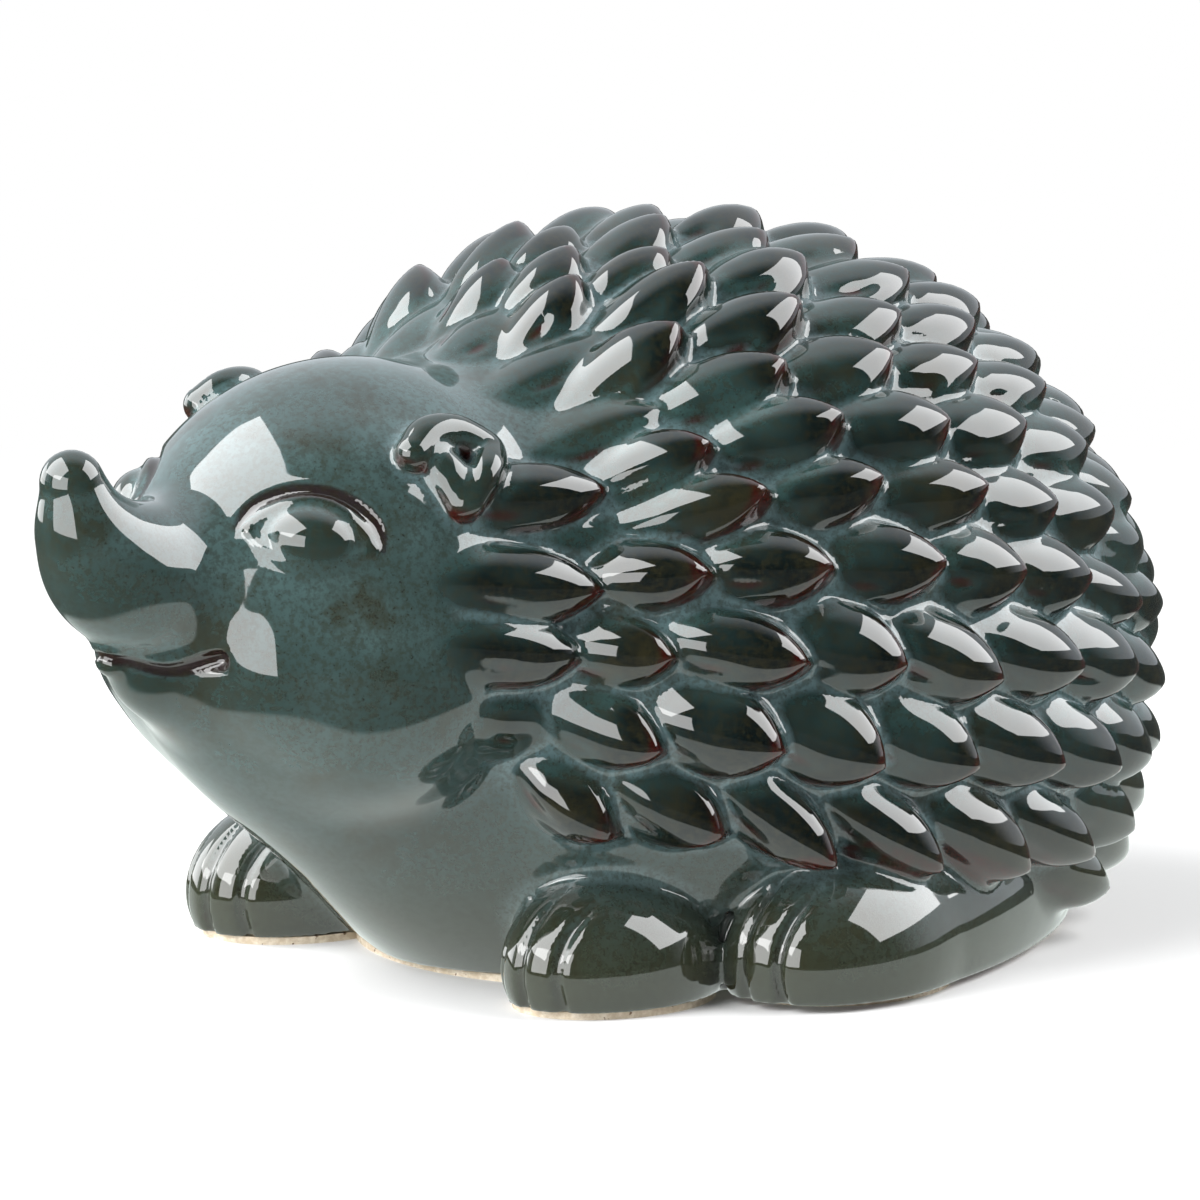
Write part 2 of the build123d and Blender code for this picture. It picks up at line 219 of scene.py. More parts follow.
# Grid of the left half, with two planes past the middle for smooth normals
VOXEL = 0.7
BAND = 6.0
FAR_AWAY = 50.0
PAD = 2
GRID_LOW = np.array([0.0, -139.3, -1.4])
GRID_HIGH = np.array([77.0, 88.0, 121.0])
COUNTS = np.ceil((GRID_HIGH - GRID_LOW) / VOXEL).astype(int) + 1 + np.array([PAD, 0, 0])
ORIGIN = GRID_LOW - np.array([PAD * VOXEL, 0, 0])
AXES = [(ORIGIN[i] + VOXEL * np.arange(COUNTS[i])).astype(np.float32) for i in range(3)]

# Steps and rounds of the shaping
BEAD_STEPS = 14
LONG_BEAD_STEPS = 24
SETTLE_ROUNDS = 4
PROJECTION_ROUNDS = 2
LEAST_STEEPNESS = 0.2
MOST_SHIFT = 0.3
BEND_ROUNDS = 3
HOLLOW_ROUNDS = 14

# Groups of faces, told apart by number
GROUPS = {
    "face": 0,
    "mantle": 1,
    "left_forepaw": 2,
    "left_hindpaw": 3,
    "left_eye": 4,
}

# Glaze colours: thin (also painted shade) and plain on skin and leaf, pooled pale with
# painted reflection, iron tints
SKIN_THIN_AND_SHADE = (0.012, 0.023, 0.019)
SKIN_PLAIN = (0.062, 0.106, 0.107)
LEAF_THIN_AND_SHADE = (0.001, 0.002, 0.002)
LEAF_PLAIN = (0.031, 0.066, 0.062)
# Pooled glaze, paler in hollows, which also paints the valleys' reflection
POOLED_AND_REFLECTION = (0.098, 0.155, 0.165)
# Dark red tint with painted shade, for the carved grooves
GROOVE_TINT_AND_SHADE = (0.012, 0.002, 0.002)
SPECK = (0.012, 0.01, 0.006)
BROWN = (0.02, 0.018, 0.008)
KHAKI = (0.03, 0.032, 0.017)
RED = (0.03, 0.002, 0.001)

# Glaze noises: scale per metre, detail and roughness
CLOUD_NOISE = (30.0, 3.0, 0.6)
RUST_NOISE = (70.0, 5.0, 0.75)
DRIP_NOISE = (110.0, 3.0, 0.6)
GRAIN_NOISE = (900.0, 4.0, 0.7)
SPECK_NOISE = (1700.0, 2.0, 0.6)
RIPPLE_NOISE = (120.0, 2.0, 0.5)

# Glaze layers: where each begins, where it is full, and its cover there.
# Ranges are the first two alone, for masks that work together.
CLOUD_LAYER = (0.36, 0.66, 0.55)
DOME_LAYER = (0.05, 0.36, 0.9)
# Painted shade: the thin colour laid over surfaces the less they face up
UNDERSIDE_SHADE_LAYER = (-0.65, 0.25, 0.55)
# Pooled glaze with painted reflection in the hollows
POOL_AND_REFLECTION_LAYER = (-0.1, -0.5, 0.7)
RUST_LAYER = (0.48, 0.72, 0.75)
FOOT_LAYER = (30.0, 4.0, 0.8)
# Dark red tint with painted shade along the carved grooves
GROOVE_TINT_AND_SHADE_LAYER = (0.7, 0.0, 0.9)
GRAIN_LAYER = (0.42, 0.62, 0.45)
SPECK_LAYER = (0.6, 0.72, 0.45)
DRIP_RANGE = (0.3, 0.5)
STEEP_RANGE = (0.22, 0.65)
# Painted shade: the iron red of steep flanks kept to faces that look down
UNDERSIDE_SHADE_RANGE = (-0.25, 0.35)
EDGE_RANGE = (0.11, 0.24)
VEIN_RANGE = (0.35, 0.9)
EDGE_COVER = 0.9
VEIN_COVER = 0.9
RIPPLE_STRENGTH = 0.06
RIPPLE_HEIGHT = 0.6 * MM
GLAZE_ROUGHNESS = 0.04
GLAZE_IOR = 1.75

# Bare clay of the foot
CLAY_DARK = (0.52, 0.43, 0.31)
CLAY_PALE = (0.72, 0.64, 0.52)
CLAY_IRON = (0.16, 0.09, 0.05)
CLAY_GRAIN_NOISE = (700.0, 3.0, 0.6)
CLAY_GRAIN_RANGE = (0.35, 0.7)
CLAY_IRON_NOISE = (1300.0, 1.0, 0.5)
CLAY_IRON_RANGE = (0.68, 0.74)
CLAY_BUMP_NOISE = (900.0, 3.0, 0.6)
CLAY_BUMP_STRENGTH = 0.4
CLAY_BUMP_HEIGHT = 0.3 * MM
CLAY_ROUGHNESS = 0.85

# Camera: a long lens, placed by the photograph's scale and the pixel of the origin
PHOTO_SIZE = 1200
PIXELS_PER_MM = 6.26
PHOTO_SCALE = PIXELS_PER_MM / MM
ORIGIN_PIXEL = (680.0, 922.8)
CAMERA_AZIMUTH = radians(49.0)
CAMERA_ELEVATION = radians(11.6)
CAMERA_DISTANCE = 7.5
FOCUS_DEPTH = 0.025
SENSOR = 36.0
FAR_CLIP = 50.0

# Lamps: azimuth and elevation in degrees, distance, width and height in metres, radiance
LAMP_AIM = (0, -0.02, 0.06)
LAMPS = {
    "key_softbox": (-31, 43, 1.1, 1.6, 1.0, 6.0),
    "front_card": (4, 9, 0.5, 0.44, 0.3, 4.5),
    "side_card": (-72, 5, 0.6, 0.4, 0.3, 3.5),
    "rear_softbox": (143, 37, 1.2, 1.2, 0.95, 5.5),
}

# Studio: what the backdrop sends to the camera, to the clay and to reflections
WHITE = (1, 1, 1, 1)
BACKDROP_STRENGTH = 1.0
FILL_COLOUR = (0.92, 0.96, 1, 1)
FILL_STRENGTH = 0.12
STUDIO_COLOUR = (0.88, 0.94, 1, 1)
STUDIO_RANGE = (-0.3, 0.4)
STUDIO_STRENGTHS = (0.03, 1.1)

# Table: matt white that fades into the backdrop. Reflections see it bright
# close to the clay and dark further out.
TABLE_HALF_WIDTH = 6.0
TABLE_WHITE = (0.9, 0.9, 0.9, 1)
TABLE_ROUGHNESS = 0.6
TABLE_FADE_RANGE = (0.13, 0.4)
TABLE_EDGE_RANGE = (0.15, 0.138)
TABLE_MIRROR_COLOUR = (0.92, 1, 0.96, 1)
TABLE_MIRROR_STRENGTHS = (0.12, 1.15)


def window(low, high):
    """Return the slices and coordinates of the grid between two corners."""
    first = np.clip(np.floor((low - ORIGIN) / VOXEL).astype(int), 0, COUNTS)
    last = np.clip(np.ceil((high - ORIGIN) / VOXEL).astype(int) + 1, 0, COUNTS)
    cut = tuple(slice(a, b) for a, b in zip(first, last))
    x = AXES[0][cut[0]][:, None, None]
    y = AXES[1][cut[1]][None, :, None]
    z = AXES[2][cut[2]][None, None, :]
    return cut, (x, y, z)


def union(a, b, blend):
    """Return the smooth union of two distance fields."""
    mix = np.maximum(blend - np.abs(a - b), 0) / blend
    return np.minimum(a, b) - mix * mix * (blend / 4)


def carve(a, b, blend):
    """Return field a with the form of field b smoothly cut away."""
    return -union(-a, b, blend)


def along(coords, centre, axis):
    """Return how far each point lies from a centre along an axis."""
    x, y, z = coords
    return (x - centre[0]) * axis[0] + (y - centre[1]) * axis[1] + (z - centre[2]) * axis[2]


def egg(coords, centre, axis, half_length, radius):
    """Return the distance field of an egg about an axis."""
    x, y, z = coords
    lengthwise = along(coords, centre, axis) ** 2
    whole = (x - centre[0]) ** 2 + (y - centre[1]) ** 2 + (z - centre[2]) ** 2
    across = np.maximum(whole - lengthwise, 0)
    near = np.sqrt(across / radius**2 + lengthwise / half_length**2)
    steep = np.sqrt(across / radius**4 + lengthwise / half_length**4) + TINY
    return near * (near - 1) / steep


def curve_points(points, radii, count):
    """Return points and radii along a smooth curve through the given ones."""
    points = np.array(points, dtype=float)
    ends = np.vstack([2 * points[0] - points[1], points, 2 * points[-1] - points[-2]])
    sizes = np.array([radii[0], *radii, radii[-1]], dtype=float)
    data = np.column_stack([ends, sizes])
    out = []
    for k in range(len(points) - 1):
        p0, p1, p2, p3 = data[k : k + 4]
        for t in np.linspace(0, 1, count, endpoint=k == len(points) - 2):
            straight = 2 * p1 + (p2 - p0) * t
            bent = (2 * p0 - 5 * p1 + 4 * p2 - p3) * t * t
            twisted = (3 * p1 - p0 - 3 * p2 + p3) * t**3
            out.append(0.5 * (straight + bent + twisted))
    out = np.array(out)
    return out[:, :3], out[:, 3]


def bead(points, radii, count=BEAD_STEPS):
    """Return the window and field of a round bead along a smooth curve."""
    places, sizes = curve_points(points, radii, count)
    reach = sizes.max() + BAND
    cut, (x, y, z) = window(places.min(0) - reach, places.max(0) + reach)
    field = None
    for (px, py, pz), size in zip(places, sizes):
        gap = np.sqrt((x - px) ** 2 + (y - py) ** 2 + (z - pz) ** 2) - size
        field = gap if field is None else np.minimum(field, gap)
    return cut, field


def to_left(points):
    """Return points with those of the right half mirrored to the left."""
    spots = points.copy()
    spots[:, 0] = np.abs(spots[:, 0])
    return spots


def sample(field, points):
    """Return the field's values at points of either half."""
    index = (to_left(points) - ORIGIN) / VOXEL
    low = np.clip(np.floor(index).astype(int), 0, np.array(field.shape) - 2)
    part = index - low
    total = 0
    for corner in np.ndindex(2, 2, 2):
        step = np.array(corner[::-1])
        at = low + step
        weight = np.prod(np.where(step, part, 1 - part), axis=1)
        total = total + weight * field[at[:, 0], at[:, 1], at[:, 2]]
    return total


def gradient(field, points, reach):
    """Return the field's slope at points, measured over a short reach."""
    slope = np.empty_like(points)
    for axis in range(3):
        step = np.zeros(3)
        step[axis] = reach
        slope[:, axis] = sample(field, points + step) - sample(field, points - step)
    return slope / (2 * reach)


def blur(field, rounds):
    """Return the field after so many rounds of small smoothing."""
    out = field.copy()
    for _ in range(rounds):
        for axis in range(3):
            count = out.shape[axis]
            before = out.take(np.maximum(np.arange(count) - 1, 0), axis)
            after = out.take(np.minimum(np.arange(count) + 1, count - 1), axis)
            out = 0.5 * out + 0.25 * (before + after)
    return out


def egg_hit(start, ray, centre, axis, half_length, radius):
    """Return how far along a ray its last crossing of an egg lies, or 0."""

    def scaled(vector):
        lengthwise = axis * (vector @ axis)
        return (vector - lengthwise) / radius + lengthwise / half_length

    r, o = scaled(ray), scaled(start - centre)
    inside = (r @ o) ** 2 - (r @ r) * (o @ o - 1)
    if inside < 0:
        return 0
    return (sqrt(inside) - r @ o) / (r @ r)


def egg_normal(point, centre, axis, half_length, radius):
    """Return the outward direction of an egg at a point on it."""
    offset = point - centre
    lengthwise = axis * (offset @ axis)
    normal = (offset - lengthwise) / radius**2 + lengthwise / half_length**2
    return normal / np.linalg.norm(normal)


def skin_at(turn, lean):
    """Return where a ray at two angles leaves the body, head and chest."""
    around = LEFT * sin(radians(lean)) + CROWN * cos(radians(lean))
    ray = around * (BODY_RADIUS * sin(radians(turn)))
    ray = ray - TAIL * (BODY_HALF_LENGTH * cos(radians(turn)))
    return BODY_CENTRE + ray * max(egg_hit(BODY_CENTRE, ray, *skin) for skin in SKINS)


def on_head(aim):
    """Return a place on the head: its point, level, rising and outward directions."""
    ray = aim - HEAD_CENTRE
    point = HEAD_CENTRE + ray * egg_hit(HEAD_CENTRE, ray, *HEAD_FORM)
    outward = egg_normal(point, *HEAD_FORM)
    level = np.cross(UP, outward)
    level = level / np.linalg.norm(level)
    return point, level, np.cross(outward, level), outward


def settle(field, point):
    """Return the point moved onto the clay, and the clay's direction there."""
    for _ in range(SETTLE_ROUNDS):
        slope = gradient(field, point[None], VOXEL)[0]
        slope = slope / np.linalg.norm(slope)
        point = point - slope * sample(field, point[None])[0]
    return point, slope


def lay_on_skin(skin, spot, places, lift):
    """Return flat places laid on the clay about a spot, a little raised."""
    point, level, rise, _ = spot
    laid = []
    for x, y in places:
        on_skin, outward = settle(skin, point + level * x + rise * y)
        laid.append(on_skin + outward * lift)
    return laid


def almond(reach, rise, count):
    """Return flat places along one side of an almond."""
    shares = np.linspace(-1, 1, count)
    return [(reach * share, rise * (1 - share**2)) for share in shares]


def arc(reach, rise, start, sweep, count):
    """Return flat places along part of an oval."""
    angles = start + sweep * np.linspace(0, 1, count)
    return [(reach * cos(angle), rise * sin(angle)) for angle in angles]


class Clay:
    """The left half's clay: its distance field, and what each place belongs to.

    The bare field is the clay without its leaves.
    """

    def __init__(self):
        self.everywhere, self.coords = window(ORIGIN - VOXEL, GRID_HIGH + VOXEL)
        body, head, chest = (egg(self.coords, *skin).astype(np.float32) for skin in SKINS)
        self.field = union(union(body, head, NECK_BLEND), chest, CHEST_BLEND)
        faces = np.minimum(head, chest) < body
        self.group = np.where(faces, GROUPS["face"], GROUPS["mantle"]).astype(np.int8)
        self.seam = np.full(self.field.shape, BAND, dtype=np.float32)
        self.bare = self.field
        self.leaves = np.full(self.field.shape, FAR_AWAY, dtype=np.float32)
        self.streak = np.zeros(self.field.shape, dtype=np.float32)

    def join(self, cut, form, blend, group):
        """Melt a form into the clay and give its places to a group."""
        nearer = form < self.field[cut]
        self.group[cut] = np.where(nearer, GROUPS[group], self.group[cut])
        self.field[cut] = union(self.field[cut], form, blend)

    def cut_away(self, cut, form, blend, fade=0.0):
        """Carve a form out of the clay and note the seam that it leaves."""
        self.field[cut] = carve(self.field[cut], form, blend)
        self.seam[cut] = np.minimum(self.seam[cut], form + fade)


def model_haunch(clay):
    """Join the long haunch to the body."""
    axis = np.array([-sin(HAUNCH_TOE_IN), cos(HAUNCH_TOE_IN), 0.0])
    haunch = egg(clay.coords, HAUNCH_CENTRE, axis, HAUNCH_HALF_LENGTH, HAUNCH_RADIUS)
    clay.join(clay.everywhere, haunch, HAUNCH_BLEND, "mantle")


def model_face(clay):
    """Join the snout, jaw, cheek and jowl to the head."""
    clay.join(*bead(SNOUT_LINE, SNOUT_RADII, LONG_BEAD_STEPS), SNOUT_BLEND, "face")
    clay.join(*bead(JAW_LINE, JAW_RADII, LONG_BEAD_STEPS), JAW_BLEND, "face")
    cheek = egg(clay.coords, CHEEK_CENTRE, BACK, CHEEK_HALF_LENGTH, CHEEK_RADIUS)
    clay.join(clay.everywhere, cheek, SNOUT_BLEND, "face")
    jowl = egg(clay.coords, JOWL_CENTRE, BACK, JOWL_HALF_LENGTH, JOWL_RADIUS)
    clay.join(clay.everywhere, jowl, JOWL_BLEND, "face")


def carve_mouth(clay):
    """Cut the mouth's slit and dimple into the face."""
    places = [settle(clay.field, np.array(place, dtype=float)) for place in MOUTH_LINE]
    line = [place - outward * MOUTH_DEPTH for place, outward in places]
    clay.cut_away(*bead(line, MOUTH_RADII, LONG_BEAD_STEPS), CUT_BLEND)


def row_lean_at(row_lean, turn):
    """Return the lean of a row, which fans out low down behind the face."""
    low = max(row_lean - FAN_START_LEAN, 0)
    return row_lean + FAN_RATE * low * max(FAN_END_TURN - turn, 0)


def leaf_place(skin, row_lean, turn, next_turn, lean_step, rng):
    """Return a leaf's start, its three directions, its length and half width."""
    root = skin_at(turn, row_lean_at(row_lean, turn))
    tip_lean = row_lean_at(row_lean, next_turn)
    tip_lean += TIP_DROOP_RATE * max(row_lean - TIP_DROOP_START_LEAN, 0)
    tip = skin_at(next_turn, tip_lean)
    root, outward = settle(skin, root)
    tip, _ = settle(skin, tip)
    run = tip - root
    low = np.clip((row_lean - TIP_DROOP_START_LEAN) / TIP_DROOP_LEAN_SPAN, 0, 1)
    length = (np.linalg.norm(run) + LEAF_BACKSET) * (LEAF_OVERREACH + LEAF_LOW_REACH * low)
    run = run - outward * (run @ outward)
    run = run / np.linalg.norm(run)
    side = np.cross(run, outward)
    sway = LEAF_TURN_JITTER * rng.uniform(-1, 1) * (row_lean > 0)
    run, side = run * cos(sway) + side * sin(sway), side * cos(sway) - run * sin(sway)
    middle = (root + tip) / 2 - BODY_CENTRE
    reach = np.linalg.norm(middle - TAIL * (middle @ TAIL))
    room = LEAF_ROOM_SHARE * reach * radians(lean_step)
    size = 1 + LEAF_SIZE_JITTER * rng.uniform(-1, 1)
    half_width = min(LEAF_WIDTH, max(LEAF_LEAST_WIDTH, room)) / 2 * size
    axis = run * cos(LEAF_LIFT) + outward * sin(LEAF_LIFT)
    start = root - outward * LEAF_SINK - run * LEAF_BACKSET
    return start, (axis, side, np.cross(side, axis)), length, half_width


def leaf_profile(s):
    """Return the half width of a leaf along its length, 1 at the belly."""
    root = 1 - (1 - np.minimum(s / LEAF_BELLY_SHARE, 1)) ** LEAF_BELLY_POWER
    tip = 1 - (np.maximum(s - LEAF_TIP_SHARE, 0) / (1 - LEAF_TIP_SHARE)) ** LEAF_TIP_BEND
    return np.clip(root, 0, 1) ** LEAF_ROOT_POWER * np.clip(tip, 0, 1) ** LEAF_TIP_POWER


def leaf_groove(s, t, wide, rng):
    """Return how deep the streak lies along and across a leaf, 1 at the deepest."""
    side = STREAK_SIDE_SHARE + rng.uniform(-STREAK_SIDE_JITTER, STREAK_SIDE_JITTER)
    place = rng.uniform(*STREAK_PLACE_SHARES)
    spread = rng.uniform(*STREAK_SPREAD_SHARES)
    strength = rng.uniform(*STREAK_STRENGTH_SHARES)
    across = np.exp(-(((t - side * wide) / STREAK_WIDTH) ** 2))
    return across * np.exp(-(((s - place) / spread) ** 2)) * strength


def leaf(start, directions, length, half_width, rng):
    """Return the window, field and streak of one leaf-shaped spine."""
    axis, side, top = directions
    centre = start + axis * length / 2
    span = length / 2 + BAND
    cut, coords = window(centre - span, centre + span)
    s = along(coords, start, axis) / length
    t = along(coords, start, side)
    n = along(coords, start, top)
    wide = leaf_profile(np.clip(s, 0, 1)) * half_width
    wide = np.maximum(wide, LEAF_POINT_HALF_WIDTH)
    share = np.minimum(np.abs(t) / wide, LEAF_SIDE_LIMIT)
    groove = leaf_groove(s, t, wide, rng)
    tall = (LEAF_DOME_SHARE + LEAF_DOME_JITTER * rng.uniform(-1, 1)) * wide
    dome = (n - tall * (1 - share**2) + STREAK_DEPTH * groove) * LEAF_DOME_EVENNESS
    wall = np.abs(t) - wide
    field = -union(-dome, -wall, LEAF_RIM_BLEND)
    beyond = np.maximum(np.maximum(-s, s - 1), 0) * length
    past_ends = np.sqrt(t**2 + np.maximum(n, 0) ** 2 + beyond**2)
    field = np.where(beyond > 0, past_ends, field)
    return cut, field.astype(np.float32), groove.astype(np.float32)


def model_leaves(clay):
    """Cover the back and the flank with rows of leaves."""
    clay.bare = clay.field.copy()
    rng = np.random.default_rng(SEED)
    leans = [row_lean for row_lean, _ in ROWS]
    steps = [b - a for a, b in zip(leans, leans[1:])]
    steps = [steps[0], *map(min, zip(steps, steps[1:])), steps[-1]]
    for (row_lean, turns), step in zip(ROWS, steps):
        for turn, end in zip(turns, turns[1:] + (turns[-1] + LAST_TURN_STEP,)):
            place = leaf_place(clay.bare, row_lean, turn, end, step, rng)
            cut, form, groove = leaf(*place, rng)
            nearer = form < clay.leaves[cut]
            clay.streak[cut] = np.where(nearer, groove, clay.streak[cut])
            clay.leaves[cut] = union(clay.leaves[cut], form, LEAF_EDGE_BLEND)
    clay.group[clay.leaves < clay.field] = GROUPS["mantle"]
    clay.field = union(clay.field, clay.leaves, LEAF_BLEND)


def model_paw(clay, name, centre, radius, half_length):
    """Join one paw and cut the grooves between its toes."""
    centre = np.array(centre)
    span = half_length + BAND
    cut, near = window(centre - span, centre + span)
    paw = egg(near, centre, BACK, half_length, radius)
    clay.join(cut, paw, PAW_BLEND, name)
    clay.bare[cut] = union(clay.bare[cut], paw, PAW_BLEND)
    for gap in TOE_GAPS:
        shift = gap * TOE_PITCH
        shrink = sqrt(1 - (shift / radius) ** 2)
        line = [
            centre
            + LEFT * shift
            - BACK * (cos(rise) * half_length * shrink)
            + UP * (sin(rise) * radius * shrink)
            for rise in TOE_GROOVE_RISES
        ]
        radii = TOE_GROOVE_RADIUS * np.array(TOE_GROOVE_SHARES)
        clay.cut_away(*bead(line, radii), CUT_BLEND, TOE_FADE)


def model_ear(clay, skin):
    """Lay the ear's curled rim and its lobe on the head."""
    spot = on_head(EAR_AIM)
    rim = arc(EAR_REACH, EAR_RISE, EAR_START, EAR_SWEEP, len(EAR_RIM_RADII))
    rim = lay_on_skin(skin, spot, rim, EAR_RIM_LIFT)
    clay.join(*bead(rim, EAR_RIM_RADII), EAR_BLEND, "face")
    lobe = lay_on_skin(skin, spot, EAR_LOBE, EAR_LOBE_LIFT)
    clay.join(*bead(lobe, EAR_LOBE_RADII), EAR_BLEND, "face")


def model_eye(clay, skin):
    """Fold the brow, lay the two lids and set the eyeball between them."""
    point, level, rise, outward = on_head(EYE_AIM)
    point, _ = settle(skin, point)
    level, rise = (
        level * cos(EYE_ROLL) + rise * sin(EYE_ROLL),
        rise * cos(EYE_ROLL) - level * sin(EYE_ROLL),
    )
    socket = (point, level, rise, outward)
    fold = arc(CREASE_REACH, CREASE_RISE, pi, -pi, len(CREASE_SHARES))
    fold = lay_on_skin(skin, socket, fold, CREASE_LIFT)
    clay.cut_away(*bead(fold, CREASE_RADIUS * np.array(CREASE_SHARES)), CUT_BLEND)
    for height, lift in ((LID_RISE, UPPER_LID_LIFT), (-LID_DROP, LOWER_LID_LIFT)):
        lid = almond(LID_REACH, height, len(LID_SHARES))
        lid = lay_on_skin(skin, socket, lid, lift)
        clay.join(*bead(lid, LID_RADIUS * np.array(LID_SHARES)), EYE_BLEND, "face")
    centre = point - outward * EYE_SINK
    cut, near = window(centre - EYE_SPAN, centre + EYE_SPAN)
    eye = egg(near, centre, level, EYE_HALF_LENGTH, EYE_RADIUS)
    clay.join(cut, eye, EYE_BLEND, "left_eye")


def build_clay():
    """Return the left half's clay with all its forms, flat above the foot."""
    clay = Clay()
    model_haunch(clay)
    model_face(clay)
    carve_mouth(clay)
    model_leaves(clay)
    for name, sizes in PAWS.items():
        model_paw(clay, name, *sizes)
    skin = clay.field.copy()
    model_ear(clay, skin)
    model_eye(clay, skin)
    foot = (FOOT_HEIGHT - clay.coords[2]).astype(np.float32)
    clay.field = np.maximum(clay.field, foot)
    clay.streak[clay.leaves > clay.bare + STREAK_MARGIN] = 0
    return clay


def surface(field):
    """Return the points and four-sided faces of the whole clay surface."""
    inner = np.clip(field[PAD:], -BAND / 2, BAND / 2)
    whole = np.concatenate([inner[:0:-1], inner])
    grid = openvdb.FloatGrid(BAND / 2)
    grid.copyFromArray(np.ascontiguousarray(whole))
    grid.transform = openvdb.createLinearTransform(voxelSize=VOXEL)
    points, quads = grid.convertToQuads(0.0)
    half = (inner.shape[0] - 1) * VOXEL
    points = points.astype(float) + np.array([-half, ORIGIN[1], ORIGIN[2]])
    for _ in range(PROJECTION_ROUNDS):
        slope = gradient(field, points, VOXEL / 2)
        steep = np.maximum((slope**2).sum(1), LEAST_STEEPNESS)
        shift = np.clip(sample(field, points) / steep, -MOST_SHIFT, MOST_SHIFT)
        points = points - slope * shift[:, None]
    return points, quads.astype(int)


def directions_at(field, points):
    """Return the outward directions of a field at points."""
    slope = gradient(field, points, VOXEL)
    return slope / np.linalg.norm(slope, axis=1)[:, None]


def point_traits(clay, points, normals):
    """Return what the glaze has to know about each point of the surface."""
    under = directions_at(clay.bare, points)
    return {
        "bend": sample(blur(clay.field, BEND_ROUNDS) - clay.field, points),
        "hollow": sample(blur(clay.field, HOLLOW_ROUNDS) - clay.field, points),
        "flank": 1 - (normals * under).sum(1),
        "seam": sample(clay.seam, points),
        "down": -normals[:, 2],
        "streak": sample(clay.streak, points),
        "low": points[:, 2],
        "leafy": np.clip(1 - sample(clay.leaves, points) / LEAF_FADE, 0, 1),
    }


def group_at(group, points):
    """Return the group number of the grid place nearest to each point."""
    nearest = np.round((to_left(points) - ORIGIN) / VOXEL).astype(int)
    nearest = np.clip(nearest, 0, np.array(group.shape) - 1)
    return group[nearest[:, 0], nearest[:, 1], nearest[:, 2]]


def add_piece(name, points, quads, normals, traits, nodes, material):
    """Make one piece from its share of the faces, with smooth normals."""
    used, flat = np.unique(quads, return_inverse=True)
    faces = flat.reshape(quads.shape)
    starts = np.arange(0, faces.size, quads.shape[1], dtype=np.int32)
    mesh = bpy.data.meshes.new(name)
    mesh.vertices.add(len(used))
    mesh.vertices.foreach_set("co", (points[used] * MM).astype(np.float32).ravel())
    mesh.loops.add(faces.size)
    mesh.loops.foreach_set("vertex_index", faces.astype(np.int32).ravel())
    mesh.polygons.add(len(faces))
    mesh.polygons.foreach_set("loop_start", starts)
    mesh.update(calc_edges=True)
    mesh.validate()
    mesh.shade_smooth()
    mesh.normals_split_custom_set_from_vertices(normals[used])
    for trait, values in traits.items():
        layer = mesh.attributes.new(trait, "FLOAT", "POINT")
        layer.data.foreach_set("value", values[used].astype(np.float32))
    mesh.materials.append(material)
    piece = bpy.data.objects.new(name, mesh)
    bpy.context.scene.collection.objects.link(piece)
    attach(piece, "root")
    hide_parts(*nodes)


def nodes_like(*words):
    """Return the names of the CAD nodes that hold any of the words."""
    return sorted(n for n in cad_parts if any(word in n for word in words))


def piece_shares(left):
    """Return each piece's name, group, side of the faces, slot and CAD nodes."""
    face = nodes_like("head", "snout", "jaw", "eyelid", "_ear")
    left_mantle = nodes_like("body_shell", "left_haunch", "left_spine")
    right_mantle = nodes_like("ridge", "right_haunch", "right_spine")
    shares = [
        ("face", "face", left | ~left, "skin_glaze", face),
        ("left_mantle", "mantle", left, "spine_glaze", left_mantle),
        ("right_mantle", "mantle", ~left, "spine_glaze", right_mantle),
    ]
    for side, faces in (("left", left), ("right", ~left)):
        for form in ("forepaw", "hindpaw", "eye"):
            slot_name = "eye_glaze" if form == "eye" else "skin_glaze"
            name = f"{side}_{form}"
            shares.append((name, f"left_{form}", faces, slot_name, [name]))
    return shares


def build_pieces():
    """Build the glazed clay and divide it into pieces by form and side."""
    clay = build_clay()
    points, quads = surface(clay.field)
    normals = directions_at(clay.field, points)
    traits = point_traits(clay, points, normals)
    middles = points[quads].mean(1)
    groups = group_at(clay.group, middles)
    finishes = {name: glaze(name) for name in ("skin_glaze", "spine_glaze", "eye_glaze")}
    for name, group, side, slot_name, nodes in piece_shares(middles[:, 0] > 0):
        faces = quads[(groups == GROUPS[group]) & side]
        finish = finishes[slot_name]
        add_piece(f"{name}_glaze", points, faces, normals, traits, nodes, finish)


def new_material(name):
    """Return a node material, its node tree and its shader."""
    material = bpy.data.materials.new(name)
    material.use_nodes = True
    tree = material.node_tree
    return material, tree, tree.nodes["Principled BSDF"]


def fill_in(tree, spot, value):
    """Link a socket's value into an input, or set it when it is plain."""
    if isinstance(value, bpy.types.NodeSocket):
        tree.links.new(value, spot)
    else:
        spot.default_value = value


def node(tree, kind, **inputs):
    """Add a node and fill in its inputs by name."""
    made = tree.nodes.new(kind)
    for name, value in inputs.items():
        fill_in(tree, made.inputs[name], value)
    return made


def trait_value(tree, name):
    """Return the value of a point trait."""
    made = tree.nodes.new("ShaderNodeAttribute")
    made.attribute_name = name
    return made.outputs["Fac"]


def ramp(tree, value, low, high):
    """Return the value mapped smoothly from low..high to 0..1."""
    made = node(tree, "ShaderNodeMapRange", Value=value)
    made.interpolation_type = "SMOOTHSTEP"
    made.inputs["From Min"].default_value = low
    made.inputs["From Max"].default_value = high
    return made.outputs["Result"]


def between(tree, share, low, high):
    """Return the value that lies at a share of the way from low to high."""
    made = node(tree, "ShaderNodeMapRange", Value=share)
    made.inputs["To Min"].default_value = low
    made.inputs["To Max"].default_value = high
    return made.outputs["Result"]


